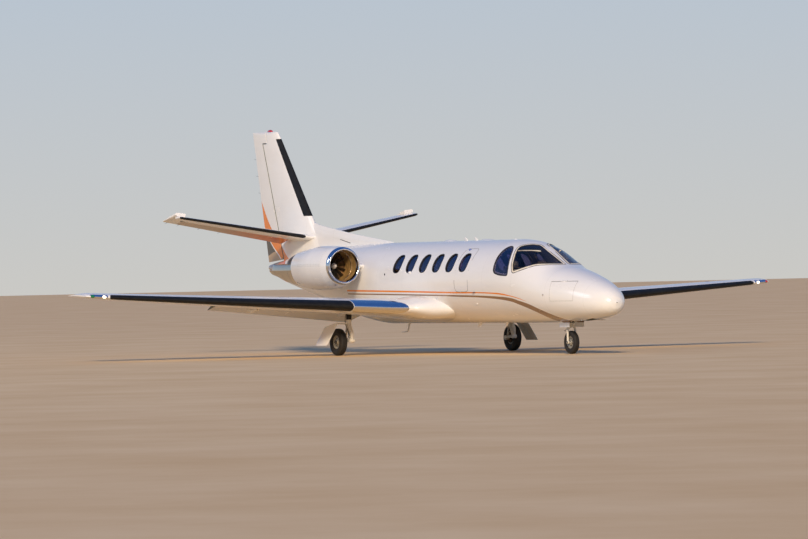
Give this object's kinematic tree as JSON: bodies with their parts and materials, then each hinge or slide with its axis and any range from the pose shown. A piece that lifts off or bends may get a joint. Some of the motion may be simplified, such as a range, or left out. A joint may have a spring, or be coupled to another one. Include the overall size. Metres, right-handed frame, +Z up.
{
  "type": "twin-engine light business jet",
  "caption": "Light business jet with a low wing, rear-mounted turbofans, a tailplane part-way up the fin, a hollow cabin and its landing gear down.",
  "frame": {"origin": "on the ground, under the middle of the aircraft's bounding box", "axes": "+X forward to the nose, +Y to port across the wings, +Z up"},
  "size_m": [14.4011, 15.4, 4.56],
  "materials": {
    "fuselage_paint": "gloss",
    "wing_paint": "gloss",
    "polished_metal": "polished",
    "engine_metal": "satin",
    "fan_metal": "satin",
    "wheel_paint": "satin",
    "gear_paint": "gloss",
    "tyre": "matte",
    "glass": "polished",
    "seat_leather": "satin",
    "carpet": "matte",
    "panel": "matte"
  },
  "bodies": {
    "airframe": {"nose_section": "fuselage_paint", "cockpit_shell": "fuselage_paint", "windscreen_left": "glass", "windscreen_right": "glass", "side_window_left": "glass", "side_window_right": "glass", "cabin_shell": "fuselage_paint", "window_belt_left": "glass", "window_belt_right": "glass", "exit_hatch": "fuselage_paint", "hatch_window": "glass", "tailcone": "wing_paint", "cabin_floor": "carpet", "instrument_panel": "panel", "cockpit_seats": "seat_leather", "cabin_seats": "seat_leather", "wing_left": "wing_paint", "wing_right": "wing_paint", "fin": "wing_paint", "stabiliser_left": "wing_paint", "stabiliser_right": "wing_paint", "cowl_left": "wing_paint", "cowl_right": "wing_paint", "intake_lip_left": "polished_metal", "intake_lip_right": "polished_metal", "engine_left": "engine_metal", "engine_right": "engine_metal", "pylon_left": "wing_paint", "pylon_right": "wing_paint", "nose_leg": "gear_paint", "nose_gear_door_left": "fuselage_paint", "nose_gear_door_right": "fuselage_paint", "main_leg_left": "gear_paint", "main_leg_right": "gear_paint", "main_gear_door_left": "gear_paint", "main_gear_door_right": "gear_paint"},
    "entry_door": {"entry_door": "fuselage_paint", "door_window": "glass"},
    "nose_bay_door_left": {"nose_bay_door_left": "fuselage_paint"},
    "nose_bay_door_right": {"nose_bay_door_right": "fuselage_paint"},
    "tail_bay_door": {"tail_bay_door": "wing_paint"},
    "flap_left": {"flap_left": "wing_paint"},
    "flap_right": {"flap_right": "wing_paint"},
    "aileron_left": {"aileron_left": "wing_paint"},
    "aileron_right": {"aileron_right": "wing_paint"},
    "elevator_left": {"elevator_left": "wing_paint"},
    "elevator_right": {"elevator_right": "wing_paint"},
    "rudder": {"rudder": "wing_paint"},
    "fan_left": {"fan_left": "fan_metal"},
    "fan_right": {"fan_right": "fan_metal"},
    "nose_steer": {"nose_fork": "gear_paint"},
    "nose_wheel": {"nose_hub": "wheel_paint", "nose_tyre": "tyre"},
    "main_wheel_left": {"main_hub_left": "wheel_paint", "main_tyre_left": "tyre"},
    "main_wheel_right": {"main_hub_right": "wheel_paint", "main_tyre_right": "tyre"}
  },
  "joints": [
    {"name": "entry_door_hinge", "type": "hinge", "parent": "airframe", "child": "entry_door", "pos_m": [3.6385, 0.812, 1.394], "axis": [0, 0, -1], "range_deg": [0, 95]},
    {"name": "nose_bay_door_left_hinge", "type": "hinge", "parent": "airframe", "child": "nose_bay_door_left", "pos_m": [6.06834, 0.45567, 1.3735], "axis": [0.9425, -0.3341, 0], "range_deg": [0, 80]},
    {"name": "nose_bay_door_right_hinge", "type": "hinge", "parent": "airframe", "child": "nose_bay_door_right", "pos_m": [6.06834, -0.45567, 1.3735], "axis": [-0.9425, -0.3341, 0], "range_deg": [0, 80]},
    {"name": "tail_bay_door_hinge", "type": "hinge", "parent": "airframe", "child": "tail_bay_door", "pos_m": [-2.85761, 0.53166, 1.0565], "axis": [-0.9653, -0.2611, 0], "range_deg": [0, 90]},
    {"name": "flap_left_hinge", "type": "hinge", "parent": "airframe", "child": "flap_left", "pos_m": [-0.5635, 1.13, 0.72675], "axis": [-0.062, -0.996, -0.0647], "range_deg": [-18, 17]},
    {"name": "flap_right_hinge", "type": "hinge", "parent": "airframe", "child": "flap_right", "pos_m": [-0.5635, -1.13, 0.72675], "axis": [0.062, -0.996, 0.0647], "range_deg": [-18, 17]},
    {"name": "aileron_left_hinge", "type": "hinge", "parent": "airframe", "child": "aileron_left", "pos_m": [-0.30688, 4.56, 1.0987], "axis": [-0.0645, -0.996, -0.0611], "range_deg": [-17, 17]},
    {"name": "aileron_right_hinge", "type": "hinge", "parent": "airframe", "child": "aileron_right", "pos_m": [-0.30688, -4.56, 1.0987], "axis": [0.0645, -0.996, 0.0611], "range_deg": [-17, 17]},
    {"name": "elevator_left_hinge", "type": "hinge", "parent": "airframe", "child": "elevator_left", "pos_m": [-5.35359, 0.19, 2.3623], "axis": [0.1325, -0.9772, -0.1661], "range_deg": [-35, 0]},
    {"name": "elevator_right_hinge", "type": "hinge", "parent": "airframe", "child": "elevator_right", "pos_m": [-5.35359, -0.19, 2.3623], "axis": [-0.1325, -0.9772, 0.1661], "range_deg": [-35, 0]},
    {"name": "rudder_hinge", "type": "hinge", "parent": "airframe", "child": "rudder", "pos_m": [-5.80735, 0, 1.945], "axis": [-0.3597, 0, 0.9331], "range_deg": [-22, 22]},
    {"name": "fan_left_spin", "type": "hinge", "parent": "airframe", "child": "fan_left", "pos_m": [-1.465, 1.3, 1.755], "axis": [1, 0, 0], "continuous": true},
    {"name": "fan_right_spin", "type": "hinge", "parent": "airframe", "child": "fan_right", "pos_m": [-1.465, -1.3, 1.755], "axis": [1, 0, 0], "continuous": true},
    {"name": "nose_steering", "type": "hinge", "parent": "airframe", "child": "nose_steer", "pos_m": [5.525, 0, 0.56], "axis": [0, 0, 1], "range_deg": [-20, 20]},
    {"name": "nose_wheel_spin", "type": "hinge", "parent": "nose_steer", "child": "nose_wheel", "pos_m": [5.525, 0, 0.22], "axis": [0, 1, 0], "continuous": true},
    {"name": "main_wheel_left_spin", "type": "hinge", "parent": "airframe", "child": "main_wheel_left", "pos_m": [-0.055, 1.97, 0.265], "axis": [0, 1, 0], "continuous": true},
    {"name": "main_wheel_right_spin", "type": "hinge", "parent": "airframe", "child": "main_wheel_right", "pos_m": [-0.055, -1.97, 0.265], "axis": [0, 1, 0], "continuous": true}
  ],
  "couplings": [
    {"joint": "flap_right_hinge", "follows": "flap_left_hinge", "ratio": 1},
    {"joint": "aileron_right_hinge", "follows": "aileron_left_hinge", "ratio": -1},
    {"joint": "elevator_right_hinge", "follows": "elevator_left_hinge", "ratio": 1}
  ]
}
